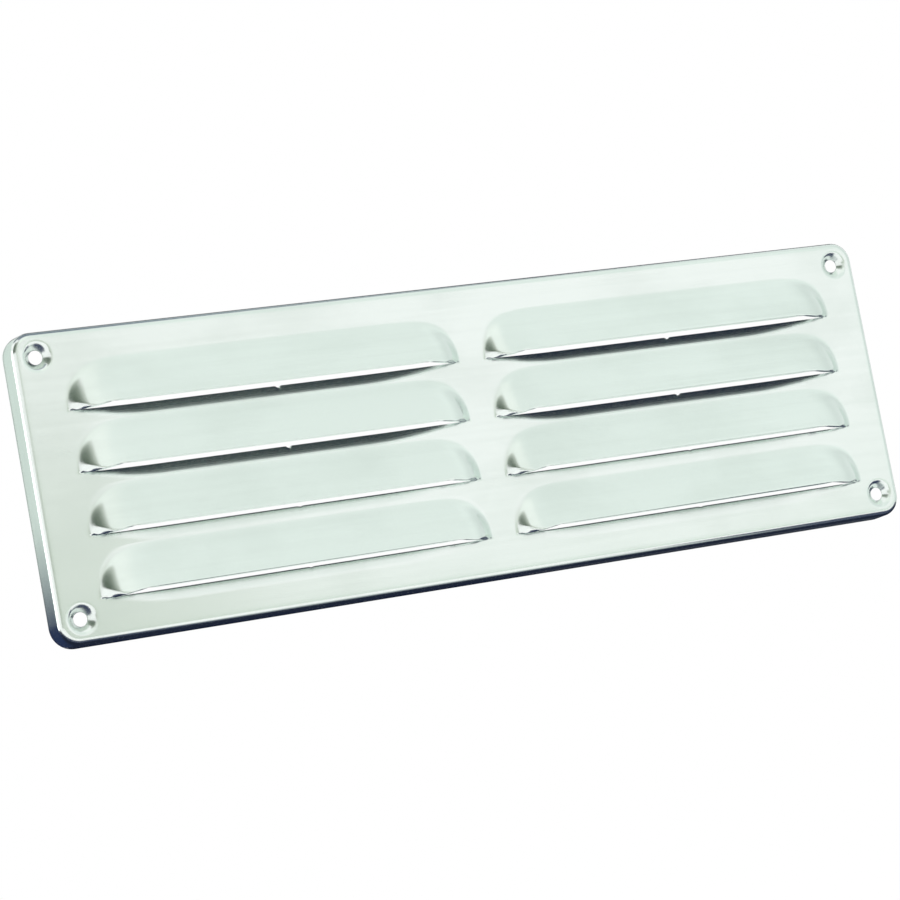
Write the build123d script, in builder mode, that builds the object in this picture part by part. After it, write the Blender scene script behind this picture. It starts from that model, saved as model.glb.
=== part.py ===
"""Louvred ventilation grille, pressed and folded from one aluminium sheet.

The grille stands upright as it does on a wall: X runs along it, Z is up and its face looks
along -Y. The origin is the centre of the screw-hole pattern, halfway through the holes' walls.
All sizes are in millimetres.
"""

import os
from math import atan2, cos, degrees, pi, radians, sin, tan

from build123d import *

# Sheet and rim
plate_length = 300.0  # across the face, without the rim's flare
plate_height = 95.0
sheet = 1.0
rim_depth = 9.0  # from the face to the rim's back edge
rim_flare = 0.5  # how far the rim's back edge stands out past the face
corner_radius = 6.5
bend_radius = 2.2  # outside of the bend from the face into the rim

# Louvres, each a hood pressed out of the face above a straight slit
louvre_columns = 2
louvre_rows = 4
louvre_rise = 14.5  # from the slit up to the hood's foot
side_margin = 15.3  # from the plate's ends to the slits
column_gap = 11.0  # between the slits of neighbouring columns
row_pitch = 19.1
top_margin = 25.1  # from the plate's top edge down to the first slit
lip_height = 5.5  # how far the hood's lip stands out from the face
toe_height = 0.8  # how far the sloping front stands out at the hood's foot
end_slope = 45.0  # the hood's sides, in degrees from the face
hood_corner = 13.0  # the hood's upper corners, seen from the front
crown_radius = 2.0  # outside, where the sloping front meets the sides
foot_radius = 1.2  # outside, where the sides meet the face
lip_lean = 10.0  # the lip's cut edge leans up from the slit, in degrees
sill_height = 3.4  # the strip below the slit that leans back into the opening
deep_sill = 1.4  # how far its upper edge lies behind the face, in the upper rows
shallow_sill = 0.3  # the same in the rows below
deep_rows = 2  # rows with a deep sill
sill_end = 33.0  # over which the sill runs out towards each end of the slit

# Screw holes, each in a dimple for a countersunk head
hole_diameter = 4.3
dimple_diameter = 8.6
countersink_angle = 90.0
hole_margin = 7.6  # from the plate's edges to the hole's axis

# Values that follow from the sizes above
hole_radius = hole_diameter / 2
dimple_radius = dimple_diameter / 2
hole_spacing_x = plate_length - 2 * hole_margin
hole_spacing_z = plate_height - 2 * hole_margin
cone_slope = tan(radians(countersink_angle / 2))
dimple_depth = (dimple_radius - hole_radius) / cone_slope
face_stand = dimple_depth + sheet / 2  # from the origin out to the face
louvres_across = plate_length - 2 * side_margin
louvre_length = (louvres_across - column_gap * (louvre_columns - 1)) / louvre_columns
column_pitch = louvre_length + column_gap
first_slit = plate_height / 2 - top_margin
front_slope = atan2(lip_height - toe_height, louvre_rise)
overcut = 2 * sheet  # how far a cutting form runs past what it cuts

# Hood and dimple sections are drawn here: x is the distance in front of the face, y is up.
SIDE = Plane(origin=(0, -face_stand, 0), x_dir=(0, -1, 0), z_dir=(-1, 0, 0))
SLOPE = Plane(origin=(0, 0, 0), x_dir=(1, 0, 0), z_dir=(0, -cos(front_slope), sin(front_slope)))


def in_front(distance):
    """The plane parallel to the face, at a distance in front of it."""
    return Plane(origin=(0, -face_stand - distance, 0), x_dir=(1, 0, 0), z_dir=(0, -1, 0))


def tray_form(setback, run_back):
    """The folded tray as a solid block, at a setback behind the sheet's outer surface."""
    depth = rim_depth + run_back
    spread = rim_flare * depth / rim_depth - setback
    with BuildPart() as form:
        with BuildSketch(in_front(-depth)):
            RectangleRounded(
                plate_length + 2 * spread, plate_height + 2 * spread, corner_radius + spread
            )
        extrude(amount=depth - setback, taper=degrees(atan2(rim_flare, rim_depth)))
        fillet(form.faces().sort_by(Axis.Y)[0].edges(), bend_radius - setback)
    return form.part


def hood_form(setback, lean, rounded):
    """One louvre's hood over a slab of the face, at a setback behind the sheet's outer surface.

    The slit lies at Z 0. Below it the hood is cut away along a plane that leans up by an angle.
    The outer form is rounded along its crown and its foot, the hollow behind it is not.
    """
    inset = setback * tan(radians(end_slope / 2))
    drop = setback / cos(front_slope)
    margin = 2 * (foot_radius + sheet)
    run_on = margin  # below the slit, where the hood is cut away again
    half_length = louvre_length / 2 - inset
    top = louvre_rise - inset
    rise = tan(front_slope)
    height = lip_height + run_on * rise + sheet
    with BuildPart() as form:
        with BuildSketch(in_front(-setback)) as plan:
            with Locations((0, top)):
                Rectangle(2 * half_length, 2 * (top + run_on + height), align=(Align.CENTER, Align.MAX))
            fillet(plan.vertices().group_by(Axis.Z)[-1], hood_corner - inset)
        extrude(amount=height, taper=90 - end_slope)
        with BuildSketch(SIDE):
            with BuildLine():
                Polyline(
                    (-2 * margin, louvre_rise + margin),
                    (toe_height - drop - margin * rise, louvre_rise + margin),
                    (lip_height - drop + run_on * rise, -run_on),
                    (-2 * margin, -run_on),
                    close=True,
                )
            make_face()
        extrude(amount=louvre_length, both=True, mode=Mode.INTERSECT)
        crown = form.faces().filter_by(SLOPE).edges().filter_by_position(Axis.Z, -run_on / 2, top)
        if rounded:
            fillet(crown, crown_radius)
        with BuildSketch(in_front(-setback)):
            with Locations((0, -run_on)):
                Rectangle(
                    2 * (half_length + margin),
                    run_on + top + margin,
                    align=(Align.CENTER, Align.MIN),
                )
        extrude(amount=-sheet / 2)
        foot = form.faces().filter_by(Plane.XZ).sort_by(Axis.Y)[0].edges()
        foot = foot.filter_by_position(Axis.X, -half_length - margin / 2, half_length + margin / 2)
        foot = foot.filter_by_position(Axis.Z, -run_on / 2, top + margin / 2)
        if rounded:
            fillet(foot, foot_radius)
        reach = 2 * height
        with BuildSketch(SIDE):
            with BuildLine():
                Polyline(
                    (-setback, 0),
                    (reach, (reach + setback) * tan(radians(lean))),
                    (reach, -2 * run_on),
                    (-setback, -2 * run_on),
                    close=True,
                )
            make_face()
        extrude(amount=louvre_length, both=True, mode=Mode.SUBTRACT)
    return form.part


def sill_form(setback, drop):
    """The wedge that one sill lies back by, at a setback behind the sheet's outer surface.

    Seen from the front its lower edge is an arc that runs out at the slit's ends.
    """
    half_length = louvre_length / 2
    arc = [(sill_end * step / 3 - half_length, sin(step / 3 * pi / 2)) for step in (1, 2, 3)]
    arc += [(-x, share) for x, share in reversed(arc)]
    with BuildPart() as form:
        for x, share in arc:
            with BuildSketch(SIDE.offset(-x)):
                with BuildLine():
                    Polyline(
                        (-setback, 0),
                        (-setback - drop * share, 0),
                        (-setback, -sill_height * share),
                        close=True,
                    )
                make_face()
        ends = [Vertex(x, setback - face_stand, 0) for x in (-half_length, half_length)]
        loft([ends[0], *form.pending_faces, ends[1]], ruled=True)
    return form.part


def dimple_boss():
    """The back of one dimple, standing behind the face on the Y axis."""
    skirt = sheet * (1 / cos(radians(countersink_angle / 2)) - cone_slope)
    with BuildPart() as boss:
        with BuildSketch(SIDE):
            with BuildLine():
                Polyline(
                    (-sheet / 2, 0),
                    (-sheet / 2, dimple_radius + skirt),
                    (-sheet, dimple_radius + skirt),
                    (-sheet - dimple_depth, hole_radius + skirt),
                    (-sheet - dimple_depth, 0),
                    close=True,
                )
            make_face()
        revolve(axis=Axis.Y)
    return boss.part


def dimple_cut():
    """The hollow of one dimple and its screw hole, on the Y axis."""
    with BuildPart() as cut:
        with BuildSketch(SIDE):
            with BuildLine():
                Polyline(
                    (overcut, 0),
                    (overcut, dimple_radius + overcut * cone_slope),
                    (-dimple_depth, hole_radius),
                    (-dimple_depth - overcut, hole_radius),
                    (-dimple_depth - overcut, 0),
                    close=True,
                )
            make_face()
        revolve(axis=Axis.Y)
    return cut.part


slit_places = [
    ((column - (louvre_columns - 1) / 2) * column_pitch, 0, first_slit - row * row_pitch)
    for row in range(louvre_rows)
    for column in range(louvre_columns)
]
deep_places = slit_places[: deep_rows * louvre_columns]
shallow_places = slit_places[deep_rows * louvre_columns :]
hole_places = [
    (x * hole_spacing_x / 2, 0, z * hole_spacing_z / 2) for x in (-1, 1) for z in (-1, 1)
]

# The outer surface first, then the hollow behind it, one sheet thickness back all over.
with BuildPart() as grille:
    add(tray_form(setback=0, run_back=0))
    with Locations(slit_places):
        add(hood_form(setback=0, lean=lip_lean, rounded=True))
    add(tray_form(setback=sheet, run_back=overcut), mode=Mode.SUBTRACT)
    with Locations(slit_places):
        add(hood_form(setback=sheet, lean=0, rounded=False), mode=Mode.SUBTRACT)
    for drop, places in ((deep_sill, deep_places), (shallow_sill, shallow_places)):
        with Locations(places):
            add(sill_form(setback=sheet, drop=drop))
            add(sill_form(setback=0, drop=drop), mode=Mode.SUBTRACT)
    with Locations(hole_places):
        add(dimple_boss())
        add(dimple_cut(), mode=Mode.SUBTRACT)

grille.part.label = "louvred_grille"
os.makedirs("parts", exist_ok=True)
export_step(grille.part, "parts/louvred_grille.step")
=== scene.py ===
from math import cos, pi, radians, sin, tan

import bpy
import numpy as np
from bpy.props import FloatProperty, FloatVectorProperty, IntProperty, PointerProperty
from bpy.types import Operator, Panel, PropertyGroup
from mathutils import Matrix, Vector


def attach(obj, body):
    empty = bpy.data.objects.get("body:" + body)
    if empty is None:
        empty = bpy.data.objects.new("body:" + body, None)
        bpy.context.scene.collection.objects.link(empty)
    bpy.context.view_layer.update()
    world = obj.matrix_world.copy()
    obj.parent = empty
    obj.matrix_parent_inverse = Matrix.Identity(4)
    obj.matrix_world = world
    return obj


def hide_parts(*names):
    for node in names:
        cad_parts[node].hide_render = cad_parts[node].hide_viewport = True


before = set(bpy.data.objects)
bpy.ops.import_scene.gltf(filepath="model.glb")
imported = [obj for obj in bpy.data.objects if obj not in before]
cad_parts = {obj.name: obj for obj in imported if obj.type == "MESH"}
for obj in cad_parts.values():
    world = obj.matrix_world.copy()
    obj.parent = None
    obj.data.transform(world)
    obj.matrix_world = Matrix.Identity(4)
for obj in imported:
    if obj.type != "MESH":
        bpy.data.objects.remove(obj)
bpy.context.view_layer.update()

bl_info = {
    "name": "Louvred grille",
    "version": (1, 0, 0),
    "blender": (4, 5, 0),
    "location": "View3D > Sidebar > Grille",
    "description": "A ventilation grille pressed and folded from one aluminium sheet",
    "category": "Add Mesh",
}

NODE = "louvred_grille"
MM = 0.001

# The blank's grid, in metres
NEAR = 1e-6  # places closer than this are the same one
MERGE_GAP = 2e-5  # grid lines closer than this become one
MIDDLE_STOPS = np.array((0, 1.5, 4.5)) * MM  # from a louvre's middle, with the notch in the last stretch
END_STOPS = np.array((-35, -14, -5, 2)) * MM  # from the slit's end
COLUMN_STEPS = np.array((1.5, 0.3, 8, 3.5, 1.1, 0.5, 1.8)) * MM  # in the stretches between those stops
ROW_STEPS = np.array((0.46, 0.42, 1.0)) * MM  # up a sill, a hood's roll and the rest of the hood
SILL_MARGIN = 0.5 * MM  # from a sill's lower edge down to a louvre's first row
PATCH_SIDE = 10.8 * MM  # of the square in each corner that holds a screw hole
PATCH_STEP = 1.1 * MM
ARC_MARGIN = 0.1 * MM  # from a corner's arc to the nearest grid line along a side
CORNER_STEPS = 12  # round each corner
BEND_STEPS = 10
WALL_STEPS = 2
CONE_STEPS = 8  # from a hole out to the last even ring
CONE_MARGIN = 0.25 * MM  # from that ring to the dimple's edge
MOUTH_RINGS = (0.08, 0.17, 0.27, 0.38, 0.5, 0.65, 0.82)  # as shares of the way on to the patch's edge

# What the press tool does, as shares and powers of the louvres' own sizes
SILL_ROOM = 1.05  # a louvre's field begins this many sill heights below its slit
DRAW_POWER = 4.0  # how quickly a hood's end comes up to its full height
FOOT_SPREAD = 5.0  # how much softer the ends' foot becomes towards the top
TOP_FOOT = 0.65  # softness of the foot along the top
OPEN_START = 0.25  # where along its end run a lip starts to open
OPEN_RUN = 0.8  # and over how much of it
ROLL_RUN = 0.5  # over how much of the end run the roll shrinks
ROLL_LEAST = 0.1  # and the share of it that stays
ROLL_DEPTH = 0.34  # how far a hood's end is rolled in at the slit
SILL_CREASE = 0.15  # softness of a sill's lower edge
NOTCH_REACH = 3.0  # notch depths over which a notch fades downwards
SHALLOW_NOTCH = 0.4  # size of the notch in a shallow sill

# Where the tool burnishes the sheet, and how much of a lip's or crown's burnish that is
LIP_BAND = 2.0  # foot softnesses over which the burnish fades up from a lip
CROWN_FALL = 2.5  # how quickly it fades to both sides of a crown
BEND_RISE = 4.0  # how quickly it sets in round the rim's bend
BEND_BURNISH = 0.3
MOUTH_BAND = 1.5  # mouth softnesses that it reaches outside a dimple
MOUTH_BURNISH = 0.2
SILL_RISE = 6.0  # how quickly it sets in up a deep sill
SILL_BURNISH = 0.8
SILL_LEAST = 0.05  # keeps the way up a sill in bounds where the sill runs out
SCORE_POWER = 2.0  # how quickly a sill's scoring fades upwards

# Modifiers and shading
EDGE_SEGMENTS = 2
CUT_ANGLE = radians(55)  # edges that turn by more than this are cut edges, and eased
SHARP_ANGLE = radians(50)  # edges that turn by more than this are shaded sharp
GRAIN_RELIEF = 0.5
STREAK_RELIEF = 0.35
FINE_BUMP = {"Strength": 0.007, "Distance": 0.0004}
WAVE_BUMP = {"Strength": 0.18, "Distance": 0.002}
MATT = 0.9  # the floor's roughness

# Stage, in metres
CARD_CELLS = 8  # along and up a curved card
FLOOR_HALF = 4
FLOOR_HEIGHT = -0.3
BELOW_CARD_HEIGHT = -0.27  # of the level cards just above the floor
CAMERA_PLACE = (-0.396874, -0.809732, -0.092404)
CAMERA_TURN = (radians(95.67523), radians(10.49286), radians(-24.37244))
SENSOR_WIDTH = 36  # millimetres
CLIP = (0.01, 50)


def length(name, description, millimetres):
    """A size that a user may change, kept in metres."""
    return FloatProperty(
        name=name, description=description, default=millimetres * MM, min=0, unit="LENGTH", precision=5
    )


def angle(name, description, degrees):
    """An angle that a user may change."""
    return FloatProperty(name=name, description=description, default=radians(degrees), subtype="ANGLE")


def colour(name, description, value):
    """A linear colour that a user may change."""
    return FloatVectorProperty(
        name=name, description=description, default=value, size=3, min=0, max=1, subtype="COLOR"
    )


def share(name, description, value):
    """A plain number from nought to one that a user may change."""
    return FloatProperty(
        name=name, description=description, default=value, min=0, max=1, subtype="FACTOR"
    )


class GRILLE_PG_sheet(PropertyGroup):
    """Sizes of the sheet, its rim and its screw holes."""

    plate_length: length("Length", "Face from end to end, without the rim's flare", 300)
    plate_height: length("Height", "Face from its lower to its upper edge", 95)
    sheet: length("Sheet", "Thickness of the sheet", 1.0)
    rim_depth: length("Rim depth", "From the face to the rim's back edge", 9)
    rim_flare: length("Rim flare", "How far the rim's back edge stands out past the face", 0.5)
    corner_radius: length("Corner radius", "Plate corners seen from the front", 6.5)
    bend_radius: length("Bend radius", "Outside of the bend from the face into the rim", 2.2)
    cut_edge: length("Cut edge", "Rounding of the sheet's cut edges", 0.12)
    hole_margin: length("Hole margin", "From the plate's edges to a hole's axis", 7.6)
    hole_radius: length("Hole radius", "Clear radius of a screw hole", 2.15)
    dimple_radius: length("Dimple radius", "Where a dimple's cone meets the face", 4.3)
    dimple_mouth: length("Dimple mouth", "Softness of the edge round a dimple", 0.9)
    face_stand: length("Face stand", "From the origin out to the face", 2.65)


class GRILLE_PG_louvres(PropertyGroup):
    """Sizes of the louvres."""

    columns: IntProperty(name="Columns", description="Louvres side by side", default=2, min=1)
    rows: IntProperty(name="Rows", description="Louvres one above another", default=4, min=1)
    length: length("Length", "One louvre along its slit", 129.2)
    column_gap: length("Column gap", "Between the slits of neighbouring columns", 11)
    row_pitch: length("Row pitch", "From one slit down to the next", 19.1)
    first_slit: length("First slit", "Height of the uppermost slit above the plate's middle", 22.4)
    rise: length("Rise", "From the slit up to the hood's foot", 14.5)
    lip_height: length("Lip height", "How far the hood's lip stands out from the face", 5.24)
    end_run: length("End run", "Over which a hood rises from its end to its full height", 13)
    end_reach: length("End reach", "How far a hood's foot runs on past the slit's end", 0.7)
    hood_corner: length("Hood corner", "Upper corners of the hood seen from the front", 14)
    foot: length("Foot", "Softness where the hood meets the face", 0.6)
    lip_lean: angle("Lip lean", "How far the lip's edge leans up from the slit", 10)
    lip_droop: angle("Lip droop", "How far the lip's edge leans down at the hood's ends", 10)
    end_curl: length("End curl", "Height over which a hood rolls in towards the slit at its ends", 3.8)
    sill_height: length("Sill height", "Strip below the slit that leans back into the opening", 3.4)
    deep_drop: length("Deep sill", "How far the upper rows' sills lie back at the slit", 1.4)
    shallow_drop: length("Shallow sill", "How far the lower rows' sills lie back at the slit", 0.5)
    deep_rows: IntProperty(name="Deep rows", description="Rows from the top with a deep sill", default=2)
    sill_start: length("Sill start", "Over which the sill deepens from the slit's left end", 25)
    sill_end: length("Sill end", "Over which the sill runs out to the slit's right end", 33)
    notch_depth: length("Notch depth", "Small notch that the tool leaves in each sill's edge", 0.6)
    notch_radius: length("Notch radius", "Half width of that notch", 0.6)
    notch_place: length("Notch place", "From the louvre's middle to the notch", 3)


class GRILLE_PG_finish(PropertyGroup):
    """Colours and gloss of the metal."""

    bright: colour("Bright metal", "Clean rolled aluminium", (0.885, 0.945, 0.912))
    dull: colour("Dull metal", "Thin oxide and handling film", (0.785, 0.85, 0.81))
    clouds: share("Clouds", "How much of the film lies in clouds", 0.55)
    streaks: share("Streaks", "How much of the film lies in streaks", 0.5)
    roughness: share("Roughness", "Mean roughness of the rolled face", 0.22)
    least: share("Least roughness", "Roughness that no rubbing goes below", 0.08)
    mottle: share("Mottle", "How far grain, streaks and film each change the roughness", 0.05)
    scuffed: share("Scuffed", "How much rougher a scuff is", 0.015)
    scored: share("Scored", "How much rougher a scored sill is", 0.2)
    burnished: share("Burnished", "How much smoother a burnished place is", 0.1)


class GRILLE_PG_stage(PropertyGroup):
    """Floor, light and camera."""

    floor: colour("Floor", "Plain pale floor", (1.0, 1.0, 1.0))
    surround: share("Surround", "Strength of the soft light from all round", 1.0)
    dark_card: colour("Dark card", "Cards that the metal mirrors as dark edges", (0.006, 0.011, 0.03))
    grey_card: colour("Grey card", "Ceiling that the hoods mirror", (0.825, 0.885, 0.853))
    front_card: colour(
        "Front card", "Card beside the camera that the left of the face mirrors", (0.60, 0.66, 0.58)
    )
    lens: FloatProperty(name="Lens", description="Camera focal length in millimetres", default=113.12)


class Value:
    """A node's output that takes part in Python arithmetic."""

    def __init__(self, graph, socket):
        self.graph = graph
        self.socket = socket

    def math(self, operation, *others):
        inputs = {number: other for number, other in enumerate((self, *others))}
        return self.graph.add("ShaderNodeMath", {"operation": operation}, inputs)

    def math_after(self, operation, first):
        return self.graph.add("ShaderNodeMath", {"operation": operation}, {0: first, 1: self})

    def __add__(self, other):
        return self.math("ADD", other)

    def __radd__(self, other):
        return self.math("ADD", other)

    def __sub__(self, other):
        return self.math("SUBTRACT", other)

    def __rsub__(self, other):
        return self.math_after("SUBTRACT", other)

    def __mul__(self, other):
        return self.math("MULTIPLY", other)

    def __rmul__(self, other):
        return self.math("MULTIPLY", other)

    def __truediv__(self, other):
        return self.math("DIVIDE", other)

    def __rtruediv__(self, other):
        return self.math_after("DIVIDE", other)

    def __pow__(self, other):
        return self.math("POWER", other)

    def __rpow__(self, other):
        return self.math_after("POWER", other)

    def __neg__(self):
        return self.math("MULTIPLY", -1.0)

    def __abs__(self):
        return self.math("ABSOLUTE")

    def at_least(self, other):
        return self.math("MAXIMUM", other)

    def at_most(self, other):
        return self.math("MINIMUM", other)

    def above(self, other):
        return self.math("GREATER_THAN", other)

    def clipped(self):
        return self.at_least(0.0).at_most(1.0)


class Graph:
    """A node tree and the one way that nodes are added to it."""

    def __init__(self, tree):
        self.tree = tree

    def add(self, kind, settings=None, inputs=None, output=0):
        node = self.tree.nodes.new(kind)
        for name, setting in (settings or {}).items():
            setattr(node, name, setting)
        for name, value in (inputs or {}).items():
            if isinstance(value, Value):
                self.tree.links.new(value.socket, node.inputs[name])
            else:
                node.inputs[name].default_value = value
        return Value(self, node.outputs[output]) if node.outputs else node


def softened(height, softness):
    """A height that goes no lower than nought, with the crease there rounded."""
    blend = (softness - abs(height)).at_least(0.0)
    return height.at_least(0.0) + blend * blend / (softness * 4.0)


def rim_section(sizes):
    """Angle, start and straight run of the rim's section, outside the flat of the face."""
    lean = np.arctan2(sizes.rim_flare, sizes.rim_depth)
    turn = pi / 2 - lean
    start = sizes.bend_radius * tan(turn / 2)
    depth = sizes.rim_depth - sizes.sheet * sin(lean)
    wall = (depth - sizes.bend_radius * (1 - cos(turn))) / sin(turn)
    return turn, start, wall


def spaced(stops, steps):
    """Positions from the first stop to the last, each stretch cut about as finely as its step."""
    runs = [
        np.linspace(low, high, max(1, round((high - low) / step)) + 1)
        for low, high, step in zip(stops, stops[1:], steps)
    ]
    return np.concatenate(runs)


def merged(positions):
    """Sorted positions without those that nearly coincide."""
    ordered = np.sort(np.concatenate(positions))
    return ordered[np.concatenate(([True], np.diff(ordered) > MERGE_GAP))]


def blank_sheet(sizes, louvres):
    """The flat blank before pressing: slits and holes cut, with the rim's strip round it."""
    turn, start, wall = rim_section(sizes)
    half = np.array((sizes.plate_length / 2 - start, sizes.plate_height / 2 - start))
    inner_radius = sizes.corner_radius - start
    patch = half - PATCH_SIDE
    hole = np.array((sizes.plate_length, sizes.plate_height)) / 2 - sizes.hole_margin
    slit_half = louvres.length / 2
    pitch = louvres.length + louvres.column_gap

    # Grid lines: u along the plate, v up it
    across = spaced((*MIDDLE_STOPS, *(slit_half + END_STOPS), pitch / 2), COLUMN_STEPS)
    centres = (np.arange(louvres.columns) - (louvres.columns - 1) / 2) * pitch
    columns = [centre + side * across for centre in centres for side in (-1, 1)]
    columns += [side * spaced((patch[0], half[0]), (PATCH_STEP,)) for side in (-1, 1)]
    u = merged(columns)
    u = u[abs(u) < half[0] + NEAR]
    sill_foot = -louvres.sill_height - SILL_MARGIN
    up = spaced((sill_foot, 0, louvres.end_curl, louvres.rise + louvres.foot), ROW_STEPS)
    slits = louvres.first_slit - louvres.row_pitch * np.arange(louvres.rows)
    rows = [slit + up for slit in slits]
    rows += [side * spaced((patch[1], half[1]), (PATCH_STEP,)) for side in (-1, 1)]
    v = merged(rows)

    points, runs, outs, faces = [], [], [], []

    def point(x, z, run=0.0, out=(0.0, 0.0)):
        points.append((x, -sizes.face_stand, z))
        runs.append(run)
        outs.append((out[0], 0.0, out[1]))
        return len(points) - 1

    def in_patch(x, z):
        return abs(x) > patch[0] + NEAR and abs(z) > patch[1] + NEAR

    def cut(x):
        return any(abs(x - centre) < slit_half - NEAR for centre in centres)

    # The flat, with two points at each place along a slit
    below, above = {}, {}
    for j, z in enumerate(v):
        slit = np.min(abs(slits - z)) < NEAR
        for i, x in enumerate(u):
            if in_patch(x, z):
                continue
            if slit and cut(x):
                below[i, j] = point(x, z - NEAR)
                above[i, j] = point(x, z + NEAR)
            else:
                below[i, j] = above[i, j] = point(x, z)
    for j in range(len(v) - 1):
        for i in range(len(u) - 1):
            if in_patch((u[i] + u[i + 1]) / 2, (v[j] + v[j + 1]) / 2):
                continue
            faces.append((above[i, j], above[i + 1, j], below[i + 1, j + 1], below[i, j + 1]))

    # The flat's outline, counter-clockwise from the front, starting at the lower left corner
    outline = []
    last_u, last_v = len(u) - 1, len(v) - 1
    straight = half - inner_radius - ARC_MARGIN
    keep_u = [i for i in range(len(u)) if abs(u[i]) < straight[0]]
    keep_v = [j for j in range(len(v)) if abs(v[j]) < straight[1]]
    sides = (
        ([(i, 0) for i in keep_u], (0, -1), (1, -1)),
        ([(last_u, j) for j in keep_v], (1, 0), (1, 1)),
        ([(i, last_v) for i in reversed(keep_u)], (0, 1), (-1, 1)),
        ([(0, j) for j in reversed(keep_v)], (-1, 0), (-1, -1)),
    )
    for places, out, corner in sides:
        for i, j in places:
            key = below[i, j] if (i, j) in below else point(u[i], v[j])
            below[i, j] = above[i, j] = key
            outline.append((key, out))
        turned = np.arctan2(out[1], out[0])
        middle = np.array(corner) * (half - inner_radius)
        for step in range(CORNER_STEPS + 1):
            bearing = turned + step * pi / (2 * CORNER_STEPS)
            direction = (cos(bearing), sin(bearing))
            place = middle + inner_radius * np.array(direction)
            outline.append((point(*place), direction))

    # The rim's strip, in steps round the bend and down the wall
    bend = sizes.bend_radius * turn
    round_bend = np.linspace(0, bend, BEND_STEPS + 1)[1:]
    down_wall = bend + np.linspace(0, wall, WALL_STEPS + 1)[1:]
    previous = [key for key, out in outline]
    for run in (*round_bend, *down_wall):
        ring = []
        for key, out in outline:
            x, _, z = points[key]
            ring.append(point(x + out[0] * run, z + out[1] * run, run, out))
        for n in range(len(ring)):
            m = (n + 1) % len(ring)
            faces.append((previous[n], ring[n], ring[m], previous[m]))
        previous = ring

    # A round patch in each corner carries the screw hole
    round_to = sizes.dimple_radius - CONE_MARGIN
    for corner in ((1, -1), (1, 1), (-1, 1), (-1, -1)):
        middle = np.array(corner) * hole
        edge = set()
        for key, out in outline:
            x, _, z = points[key]
            if in_patch(x, z) and x * corner[0] > 0 and z * corner[1] > 0:
                edge.add(key)
        for (i, j), key in below.items():
            x, z = u[i] * corner[0], v[j] * corner[1]
            side = abs(x - patch[0]) < NEAR and z > patch[1] - NEAR
            if side or (abs(z - patch[1]) < NEAR and x > patch[0] - NEAR):
                edge.add(key)
        edge = list(edge)
        flat = np.array([(points[key][0], points[key][2]) for key in edge]) - middle
        bearing = np.arctan2(flat[:, 1], flat[:, 0])
        order = np.argsort(bearing)
        edge = [edge[n] for n in order]
        bearing, reach = bearing[order], np.linalg.norm(flat, axis=1)[order]
        cone = np.linspace(sizes.hole_radius, round_to, CONE_STEPS + 1)
        radii = [np.full(len(edge), radius) for radius in cone]
        radii += [round_to + (reach - round_to) * part for part in MOUTH_RINGS]
        rings = [
            [point(middle[0] + r * cos(b), middle[1] + r * sin(b)) for r, b in zip(radius, bearing)]
            for radius in radii
        ]
        rings.append(edge)
        for near, far in zip(rings, rings[1:]):
            for n in range(len(edge)):
                m = (n + 1) % len(edge)
                faces.append((near[n], far[n], far[m], near[m]))

    mesh = bpy.data.meshes.new("blank")
    mesh.from_pydata(points, [], faces)
    mesh.attributes.new("rim_run", "FLOAT", "POINT").data.foreach_set("value", np.array(runs, np.float32))
    outward = mesh.attributes.new("rim_out", "FLOAT_VECTOR", "POINT")
    outward.data.foreach_set("vector", np.array(outs, np.float32).ravel())
    return mesh


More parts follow.
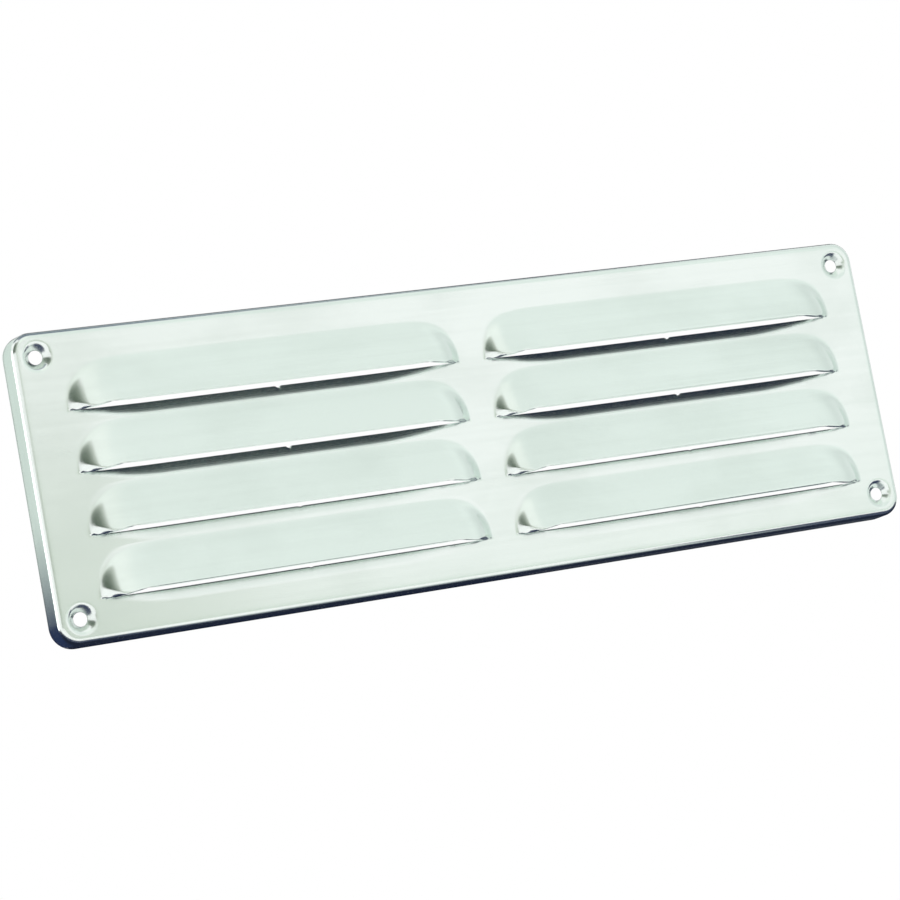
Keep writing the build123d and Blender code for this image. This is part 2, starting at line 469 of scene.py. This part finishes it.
def press_tool(names):
    """The node tree that folds the blank's rim and presses its louvres and dimples.

    Its sizes are inputs with the names given.
    """
    tree = bpy.data.node_groups.new("press_tool", "GeometryNodeTree")
    tree.is_modifier = True
    graph = Graph(tree)
    tree.interface.new_socket("Sheet", in_out="OUTPUT", socket_type="NodeSocketGeometry")
    tree.interface.new_socket("Blank", in_out="INPUT", socket_type="NodeSocketGeometry")
    for name in names:
        tree.interface.new_socket(name, in_out="INPUT", socket_type="NodeSocketFloat")
    tree.interface.new_socket("Metal", in_out="INPUT", socket_type="NodeSocketMaterial")
    entry = tree.nodes.new("NodeGroupInput")
    size = {name: Value(graph, entry.outputs[name]) for name in names}

    def attribute(name, kind):
        return graph.add("GeometryNodeInputNamedAttribute", {"data_type": kind}, {"Name": name})

    place = graph.add("GeometryNodeInputPosition")
    x = graph.add("ShaderNodeSeparateXYZ", None, {0: place}, "X")
    z = graph.add("ShaderNodeSeparateXYZ", None, {0: place}, "Z")

    # Rim: round the bend, then straight back
    run = attribute("rim_run", "FLOAT")
    out = attribute("rim_out", "FLOAT_VECTOR")
    bend = size["Bend radius"] * size["Bend angle"]
    swing = run.at_most(bend) / size["Bend radius"]
    wall = (run - bend).at_least(0.0)
    reach = size["Bend radius"] * swing.math("SINE") + wall * size["Bend angle"].math("COSINE")
    back = size["Bend radius"] * (1.0 - swing.math("COSINE")) + wall * size["Bend angle"].math("SINE")
    fold = graph.add("ShaderNodeVectorMath", {"operation": "SCALE"}, {0: out, "Scale": reach - run})

    # Place in the nearest louvre: along it from its middle, and up from its slit
    column = (x / size["Column pitch"] + size["Columns"] * 0.5).math("FLOOR")
    column = column.at_least(0.0).at_most(size["Columns"] - 1.0)
    along = x - (column - (size["Columns"] - 1.0) * 0.5) * size["Column pitch"]
    head = size["Row pitch"] - size["Sill height"] * SILL_ROOM
    row = ((size["First slit"] + head - z) / size["Row pitch"]).math("FLOOR")
    row = row.at_least(0.0).at_most(size["Rows"] - 1.0)
    up = z - size["First slit"] + row * size["Row pitch"]
    is_hood = up.above(0.0)
    is_sill = 1.0 - is_hood

    # Hood: a straight front that rises to the lip, drawn up in a soft curve from each end
    from_end = size["Louvre length"] * 0.5 - abs(along)
    corner = size["Hood corner"]
    turned = (up - size["Rise"] + corner).at_least(0.0).at_most(corner)
    inset = corner - (corner ** 2.0 - turned ** 2.0).at_least(0.0).math("SQRT")
    drawn = (from_end + size["End reach"] - inset) / size["End run"]
    foot = size["Foot"] * (1.0 + (up / size["Rise"]) ** 2.0 * FOOT_SPREAD) / size["End run"]
    drawn = 1.0 - (1.0 - softened(drawn, foot).at_most(1.0)) ** DRAW_POWER
    front = size["Lip height"] * (1.0 - up / size["Rise"])
    hood = softened(front, size["Foot"] * TOP_FOOT) * drawn * is_hood

    # The lip leans up along the slit, and at the hood's ends it rolls in and droops on to the sill
    opened = ((from_end - size["End run"] * OPEN_START) / (size["End run"] * OPEN_RUN)).clipped()
    rolled = size["End curl"] * (1.0 - from_end / (size["End run"] * ROLL_RUN)).at_least(ROLL_LEAST)
    curl = ((up / rolled).clipped() * (pi / 2)).math("SINE")
    hood = hood * (1.0 - (1.0 - opened) * (1.0 - curl) * ROLL_DEPTH)
    lean = size["Lip lean"].math("TANGENT") * opened - size["Lip droop"].math("TANGENT") * (1.0 - opened)
    lift = hood * lean * (1.0 - up / size["Rise"]).clipped()

    # Sill: leans back towards the slit, its lower edge an arc that runs out at the slit's ends
    ease = ((size["Louvre length"] * 0.5 + along) / size["Sill start"]).clipped()
    ease = ease.at_most((size["Louvre length"] * 0.5 - along) / size["Sill end"]).clipped()
    ease = (ease * (pi / 2)).math("SINE")
    tilt = softened(ease + up / size["Sill height"], SILL_CREASE)
    deep = (size["Deep rows"] - 0.5).above(row)
    drop = size["Shallow sill"] + (size["Deep sill"] - size["Shallow sill"]) * deep
    sill = drop * tilt * ease * is_sill
    spot = ((along - size["Notch place"]) / size["Notch radius"]) ** 2.0
    fade = (1.0 + up / (size["Notch depth"] * NOTCH_REACH)).clipped()
    notch = size["Notch depth"] * (-spot).math("EXPONENT") * fade
    lift = lift - notch * (SHALLOW_NOTCH + deep * (1.0 - SHALLOW_NOTCH)) * is_sill

    # Dimples
    aside = abs(x) - size["Hole spacing across"] * 0.5
    over = abs(z) - size["Hole spacing up"] * 0.5
    inside = size["Dimple radius"] - (aside ** 2.0 + over ** 2.0).math("SQRT")
    dimple = softened(inside, size["Dimple mouth"])

    depth = back + sill - hood + dimple
    press = graph.add("ShaderNodeCombineXYZ", None, {"Y": depth, "Z": lift})
    shift = graph.add("ShaderNodeVectorMath", {"operation": "ADD"}, {0: fold, 1: press})

    # Burnish: lips, crowns, bends, dimple mouths and the tops of deep sills are rubbed smooth
    lip = (1.0 - up / (size["Foot"] * LIP_BAND)).clipped()
    lip = lip * is_hood * (hood / size["Lip height"]).clipped()
    crown = (1.0 - abs(drawn - 0.5) * CROWN_FALL).clipped()
    crown = crown * is_hood * (front / size["Lip height"]).clipped()
    bent = (swing / size["Bend angle"] * BEND_RISE).clipped()
    bent = bent * (1.0 - wall / size["Bend radius"]).clipped() * BEND_BURNISH
    mouth = (inside / size["Dimple mouth"] + MOUTH_BAND).clipped() * MOUTH_BURNISH
    up_sill = (tilt / ease.at_least(SILL_LEAST)).clipped()
    on_sill = (tilt * SILL_RISE).clipped() * deep * is_sill
    burnish = lip.at_least(crown).at_least(bent).at_least(mouth)
    burnish = burnish.at_least(up_sill * on_sill * SILL_BURNISH)

    # Scored: a deep sill is drawn rough by the tool where it leaves the face
    scored = (1.0 - up_sill) ** SCORE_POWER * on_sill

    pressed = Value(graph, entry.outputs["Blank"])
    for name, field in (("burnish", burnish), ("scored", scored)):
        pressed = graph.add(
            "GeometryNodeStoreNamedAttribute",
            {"data_type": "FLOAT", "domain": "POINT"},
            {"Geometry": pressed, "Name": name, "Value": field},
        )
    pressed = graph.add("GeometryNodeSetPosition", None, {"Geometry": pressed, "Offset": shift})
    pressed = graph.add("GeometryNodeRealizeInstances", None, {"Geometry": pressed})
    metal = Value(graph, entry.outputs["Metal"])
    pressed = graph.add("GeometryNodeSetMaterial", None, {"Geometry": pressed, "Material": metal})
    graph.add("NodeGroupOutput", None, {"Sheet": pressed})
    return tree


def aluminium(finish):
    """Rolled aluminium sheet: grain along its length, thin oxide clouds, burnished and scored places."""
    material = bpy.data.materials.new("rolled_aluminium")
    material.use_nodes = True
    material.node_tree.nodes.clear()
    graph = Graph(material.node_tree)
    place = graph.add("ShaderNodeTexCoord", None, None, "Object")

    def noise(scale, detail, roughness=0.5, offset=(0, 0, 0)):
        where = graph.add("ShaderNodeMapping", None, {"Vector": place, "Scale": scale, "Location": offset})
        return graph.add(
            "ShaderNodeTexNoise",
            {"noise_dimensions": "3D"},
            {"Vector": where, "Scale": 1.0, "Detail": detail, "Roughness": roughness},
        )

    def ramp(value, low, high):
        return graph.add(
            "ShaderNodeMapRange",
            {"interpolation_type": "SMOOTHSTEP"},
            {"Value": value, "From Min": low, "From Max": high, "To Min": 0.0, "To Max": 1.0},
        )

    def worn(name):
        return graph.add("ShaderNodeAttribute", {"attribute_name": name}, None, "Fac")

    # Each scale is the number of features in a metre along X, Y and Z
    grain = noise((28, 2600, 2600), 4.0)
    streaks = noise((9, 420, 420), 3.0, offset=(3, 1, 2))
    clouds = noise((26, 40, 40), 4.0, offset=(5, 7, 1))
    waves = noise((14, 24, 24), 1.0, offset=(2, 9, 4))
    scuffs = ramp(noise((90, 900, 260), 3.0, 0.6, offset=(1, 4, 8)), 0.62, 0.72)
    burnish, scored = worn("burnish"), worn("scored")

    film = ramp(clouds, 0.38, 0.72) * finish.clouds + (streaks - 0.5) * finish.streaks
    film = (film * (1.0 - burnish)).clipped()
    base = graph.add(
        "ShaderNodeMix",
        {"data_type": "RGBA"},
        {"Factor": film, "A": (*finish.bright, 1), "B": (*finish.dull, 1)},
        2,
    )
    roughness = finish.roughness + (grain - 0.5) * finish.mottle
    roughness = roughness + (streaks - 0.5) * finish.mottle + film * finish.mottle
    roughness = roughness + scuffs * finish.scuffed + scored * finish.scored - burnish * finish.burnished
    roughness = roughness.at_least(finish.least)
    relief = grain * GRAIN_RELIEF + streaks * STREAK_RELIEF
    fine = graph.add("ShaderNodeBump", None, {"Height": relief, **FINE_BUMP})
    bump = graph.add("ShaderNodeBump", None, {"Height": waves, **WAVE_BUMP, "Normal": fine})
    shader = graph.add(
        "ShaderNodeBsdfPrincipled",
        None,
        {"Base Color": base, "Metallic": 1.0, "Roughness": roughness, "Normal": bump},
    )
    graph.add("ShaderNodeOutputMaterial", None, {"Surface": shader})
    return material


def plain(name, paint):
    """An even matt paint for the stage."""
    material = bpy.data.materials.new(name)
    material.use_nodes = True
    shader = material.node_tree.nodes["Principled BSDF"]
    shader.inputs["Base Color"].default_value = (*paint, 1)
    shader.inputs["Roughness"].default_value = MATT
    shader.inputs["Specular IOR Level"].default_value = 0.0
    return material


def linked(name, data):
    """A new object in the scene's own collection."""
    item = bpy.data.objects.new(name, data)
    bpy.context.scene.collection.objects.link(item)
    return item


class GRILLE_OT_sheet(Operator):
    """Presses the louvred sheet from its blank and puts it in the frame"""

    bl_idname = "grille.sheet"
    bl_label = "Pressed sheet"

    def execute(self, context):
        sizes, louvres = context.scene.grille_sheet, context.scene.grille_louvres
        piece = linked("pressed_sheet", blank_sheet(sizes, louvres))
        settings = {
            "Columns": float(louvres.columns),
            "Rows": float(louvres.rows),
            "Column pitch": louvres.length + louvres.column_gap,
            "Row pitch": louvres.row_pitch,
            "First slit": louvres.first_slit,
            "Louvre length": louvres.length,
            "Rise": louvres.rise,
            "Lip height": louvres.lip_height,
            "End run": louvres.end_run,
            "End reach": louvres.end_reach,
            "Hood corner": louvres.hood_corner,
            "Foot": louvres.foot,
            "Lip lean": louvres.lip_lean,
            "Lip droop": louvres.lip_droop,
            "End curl": louvres.end_curl,
            "Sill height": louvres.sill_height,
            "Deep sill": louvres.deep_drop,
            "Shallow sill": louvres.shallow_drop,
            "Deep rows": float(louvres.deep_rows),
            "Sill start": louvres.sill_start,
            "Sill end": louvres.sill_end,
            "Notch depth": louvres.notch_depth,
            "Notch radius": louvres.notch_radius,
            "Notch place": louvres.notch_place,
            "Hole spacing across": sizes.plate_length - 2 * sizes.hole_margin,
            "Hole spacing up": sizes.plate_height - 2 * sizes.hole_margin,
            "Dimple radius": sizes.dimple_radius,
            "Dimple mouth": sizes.dimple_mouth,
            "Bend radius": sizes.bend_radius,
            "Bend angle": rim_section(sizes)[0],
        }
        tool = press_tool(tuple(settings))
        settings["Metal"] = aluminium(context.scene.grille_finish)
        press = piece.modifiers.new("press", "NODES")
        press.node_group = tool
        for socket in tool.interface.items_tree:
            if socket.name in settings:
                press[socket.identifier] = settings[socket.name]
        gauge = piece.modifiers.new("gauge", "SOLIDIFY")
        gauge.thickness = sizes.sheet
        gauge.offset = -1
        gauge.use_even_offset = True
        gauge.use_quality_normals = True
        eased = piece.modifiers.new("cut_edges", "BEVEL")
        eased.width = sizes.cut_edge
        eased.segments = EDGE_SEGMENTS
        eased.limit_method = "ANGLE"
        eased.angle_limit = CUT_ANGLE
        eased.use_clamp_overlap = False
        context.view_layer.update()
        depsgraph = context.evaluated_depsgraph_get()
        mesh = bpy.data.meshes.new_from_object(piece.evaluated_get(depsgraph))
        piece.modifiers.clear()
        piece.data = mesh
        mesh.shade_smooth()
        mesh.set_sharp_from_angle(angle=SHARP_ANGLE)
        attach(piece, "root")
        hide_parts(NODE)
        return {"FINISHED"}


def glowing(name, points, faces, paints):
    """A piece of the stage that only the metal's reflections show, with a glow at each point."""
    mesh = bpy.data.meshes.new(name)
    mesh.from_pydata(points, [], faces)
    colours = [(*paint, 1.0) for paint in paints]
    paint = mesh.color_attributes.new("paint", "FLOAT_COLOR", "POINT")
    paint.data.foreach_set("color", np.array(colours, np.float32).ravel())
    material = bpy.data.materials.new(name)
    material.use_nodes = True
    material.node_tree.nodes.clear()
    graph = Graph(material.node_tree)
    paint = graph.add("ShaderNodeAttribute", {"attribute_name": "paint"}, None, "Color")
    glow = graph.add("ShaderNodeEmission", None, {"Color": paint})
    graph.add("ShaderNodeOutputMaterial", None, {"Surface": glow})
    mesh.materials.append(material)
    item = linked(name, mesh)
    item.visible_camera = False
    item.visible_diffuse = False
    item.visible_shadow = False


def card(name, paints, azimuths, elevations):
    """A curved card a metre from the grille, from one bearing and height to another, in degrees.

    Bearings run from straight in front of the grille to its right. The card has one paint, or one
    for its lower and one for its upper edge, or one for each corner.
    """
    paints = np.array(paints, float).reshape(-1, 3)
    if len(paints) < 4:
        paints = np.repeat(paints[[0, -1]], 2, axis=0)
    row = CARD_CELLS + 1
    bearings = np.radians(np.linspace(*azimuths, row))
    heights = np.radians(np.linspace(*elevations, row))
    points, colours = [], []
    for rise, high in zip(heights, np.linspace(0, 1, row)):
        for turn, right in zip(bearings, np.linspace(0, 1, row)):
            points.append((sin(turn) * cos(rise), -cos(turn) * cos(rise), sin(rise)))
            low_paint = paints[0] * (1 - right) + paints[1] * right
            high_paint = paints[2] * (1 - right) + paints[3] * right
            colours.append(low_paint * (1 - high) + high_paint * high)
    cells = [n for n in range(row * CARD_CELLS) if n % row < CARD_CELLS]
    glowing(name, points, [(n, n + 1, n + row + 1, n + row) for n in cells], colours)


def level(name, paints, corners, height):
    """A level card above or below the grille, with one paint or one for each corner."""
    paints = np.broadcast_to(np.array(paints, float).reshape(-1, 3), (len(corners), 3))
    points = [(x, y, height) for x, y in corners]
    glowing(name, points, [tuple(range(len(points)))], paints)


def panel(name, low, high, start, end, heights):
    """An upright card between two places on the floor's plan, from one paint up to another."""
    points = [(*place, height) for height in heights for place in (start, end)]
    glowing(name, points, [(0, 1, 3, 2)], (low, low, high, high))


def set_painted_reflection_below():
    """A dark card below the grille that only the metal's reflections show: a painted dark reflection for
    the faces that look down, its front edge painted bright for a stretch right of the middle.
    """
    day, dusk = (0.74, 0.8, 0.77), (0.05, 0.062, 0.11)
    left, right, far = -1.2, 1.5, 1.3
    stations = (  # X, front edge, back edge and paint in front
        (left, -0.24, -0.1, dusk),
        (-0.06, -0.225, -0.05, dusk),
        (0.0, -0.2, -0.04, day),
        (0.2, -0.15, -0.03, day),
        (0.26, -0.3, -0.02, dusk),
        (right, -0.5, 0.02, dusk),
    )
    points, paints, corners = [], [], []
    for x, front, back, paint in stations:
        points += [(x, front, BELOW_CARD_HEIGHT), (x, back, BELOW_CARD_HEIGHT)]
        paints += [paint, dusk]
        corners.append((x, back))
    faces = [(n, n + 2, n + 3, n + 1) for n in range(0, len(points) - 2, 2)]
    glowing("card_below_front", points, faces, paints)
    level("card_below", (0.014, 0.019, 0.038), [*corners, (right, far), (left, far)], BELOW_CARD_HEIGHT)


def set_cards(stage):
    """The glowing cards that only the metal's reflections show, apart from the dark card below: their
    paints are the light and shade that the metal mirrors.
    """
    cool, pale_cool = (0.09, 0.12, 0.15), (0.5, 0.54, 0.55)
    corners = ((-0.6, 0.2), (0.45, 0.2), (0.45, 0.8), (-0.6, 0.8))
    level("card_above", (cool, pale_cool, pale_cool, cool), corners, 0.8)
    # A thin strip just over the top edge, seen only in reflections, paints the dark line along the top
    # bend, darkest at the left.
    slate, pearl = (0.17, 0.21, 0.27), (0.6, 0.65, 0.65)
    corners = ((-0.153, -0.009), (0.16, 0.001), (0.16, 0.002), (-0.153, 0.002))
    level("flag_above", (slate, pearl, pearl, slate), corners, 0.062)

    # Dark cards behind the grille, seen only in reflections, paint the dark lenses on the deep sills under
    # the upper slits.
    dark, ash = stage.dark_card, (0.045, 0.058, 0.058)
    low_shades = ((0.055, 0.065, 0.085), (0.03, 0.035, 0.05)) * 2
    behind = (
        ("card_behind_low", low_shades, (128, 153), (-16, -4)),
        ("card_behind_low_left", dark, (153, 176), (-16, -4)),
        ("card_behind", dark, (122, 151), (-4, 60)),
        ("card_behind_middle", (dark, ash) * 2, (151, 159), (-4, 60)),
        ("card_behind_left", (ash, (0.02, 0.03, 0.035)) * 2, (159, 180), (-4, 60)),
    )
    for row in behind:
        card(*row)

    # Upright cards behind the left end, seen only in reflections, paint the left rim pale at the top and
    # dark at the bottom.
    navy, pale = (0.02, 0.033, 0.085), (0.68, 0.76, 0.72)
    flag_ends = ((-0.34, 0.08), (-0.1, 0.26))
    panel("flag_left", navy, pale, *flag_ends, (-0.031, 0.005))
    panel("flag_left_low", navy, navy, *flag_ends, (-0.15, -0.031))
    panel("flag_left_high", pale, pale, *flag_ends, (0.005, 0.16))

    # Cards round the front, seen only in reflections, paint the dark crescents at the hoods' left ends, the
    # soft shade at their right ends and the tone of the face.
    moss, sage, leaf = (0.1, 0.13, 0.1), (0.3, 0.34, 0.29), (0.05, 0.08, 0.05)
    mist, fog, haze = (0.92, 0.98, 0.95), (0.66, 0.72, 0.7), (0.76, 0.82, 0.79)
    around = (
        ("card_up_left", (leaf, moss, moss, sage), (-80, -48), (17, 50)),
        ("card_up_left_side", (moss, (0.34, 0.38, 0.32), sage, (0.66, 0.7, 0.64)), (-48, -30), (17, 50)),
        ("card_front_left_low", ((0.38, 0.43, 0.36), (0.59, 0.65, 0.57)) * 2, (-42, -4), (-6, 6)),
        ("card_front_left", ((0.66, 0.71, 0.64), (1.0, 1.0, 1.0)) * 2, (-30, 14), (6, 28)),
        ("card_ceiling_left", (0.94, 0.98, 0.94), (-30, 8), (28, 66)),
        ("card_right", (mist, fog, mist, haze), (46, 68), (-10, 66)),
        ("card_right_side", (fog, (0.85, 0.9, 0.88), haze, (0.95, 0.98, 0.97)), (68, 122), (-10, 66)),
        ("card_front", stage.front_card, (-4, 15), (-16, 6)),
        ("card_front_low", ((0.66, 0.73, 0.68), (0.76, 0.84, 0.77)), (15, 46), (-34, -1)),
        ("card_ceiling", stage.grey_card, (8, 46), (18, 66)),
    )
    for row in around:
        card(*row)


def lamp(name, place, target, size, power):
    """A large soft lamp that looks at a point."""
    data = bpy.data.lights.new(name, "AREA")
    data.shape = "RECTANGLE"
    data.size, data.size_y = size
    data.energy = power
    item = linked(name, data)
    item.location = place
    aim = Vector(target) - Vector(place)
    item.rotation_euler = aim.to_track_quat("-Z", "Y").to_euler()


class GRILLE_OT_stage(Operator):
    """Sets the pale floor, the cards, the soft light and the camera"""

    bl_idname = "grille.stage"
    bl_label = "Stage"

    def execute(self, context):
        scene = context.scene
        stage = scene.grille_stage
        scene.view_settings.view_transform = "Standard"

        mesh = bpy.data.meshes.new("floor")
        corners = ((-FLOOR_HALF, -FLOOR_HALF), (FLOOR_HALF, -FLOOR_HALF))
        corners += ((FLOOR_HALF, FLOOR_HALF), (-FLOOR_HALF, FLOOR_HALF))
        mesh.from_pydata([(*corner, FLOOR_HEIGHT) for corner in corners], [], [(0, 1, 2, 3)])
        floor = linked("floor", mesh)
        mesh.materials.append(plain("pale_floor", stage.floor))
        set_painted_reflection_below()
        set_cards(stage)

        world = scene.world or bpy.data.worlds.new("surround")
        scene.world = world
        world.use_nodes = True
        world.node_tree.nodes.clear()
        graph = Graph(world.node_tree)
        light = graph.add("ShaderNodeBackground", None, {"Color": (1, 1, 1, 1), "Strength": stage.surround})
        graph.add("ShaderNodeOutputWorld", None, {"Surface": light})
        lamp("key", place=(-1.0, 0.1, 0.1), target=(0, 0, 0), size=(0.5, 0.6), power=1.2)

        camera = linked("camera", bpy.data.cameras.new("camera"))
        camera.data.lens = stage.lens
        camera.data.sensor_width = SENSOR_WIDTH
        camera.data.clip_start, camera.data.clip_end = CLIP
        camera.location = CAMERA_PLACE
        camera.rotation_euler = CAMERA_TURN
        scene.camera = camera
        return {"FINISHED"}


class GRILLE_PT_panel(Panel):
    """Lists the grille's steps and sizes"""

    bl_idname = "GRILLE_PT_panel"
    bl_label = "Louvred grille"
    bl_space_type = "VIEW_3D"
    bl_region_type = "UI"
    bl_category = "Grille"

    def draw(self, context):
        layout = self.layout
        for operator in (GRILLE_OT_sheet, GRILLE_OT_stage):
            layout.operator(operator.bl_idname)
        for name in GROUPS:
            group = getattr(context.scene, name)
            box = layout.box()
            box.label(text=group.bl_rna.description)
            for key in group.__annotations__:
                box.prop(group, key)


GROUPS = {
    "grille_sheet": GRILLE_PG_sheet,
    "grille_louvres": GRILLE_PG_louvres,
    "grille_finish": GRILLE_PG_finish,
    "grille_stage": GRILLE_PG_stage,
}
CLASSES = (*GROUPS.values(), GRILLE_OT_sheet, GRILLE_OT_stage, GRILLE_PT_panel)


def register():
    for item in CLASSES:
        bpy.utils.register_class(item)
    for name, group in GROUPS.items():
        setattr(bpy.types.Scene, name, PointerProperty(type=group))


def unregister():
    for name in GROUPS:
        delattr(bpy.types.Scene, name)
    for item in reversed(CLASSES):
        bpy.utils.unregister_class(item)


def main():
    register()
    bpy.ops.grille.sheet()
    bpy.ops.grille.stage()


if __name__ == "__main__":
    main()
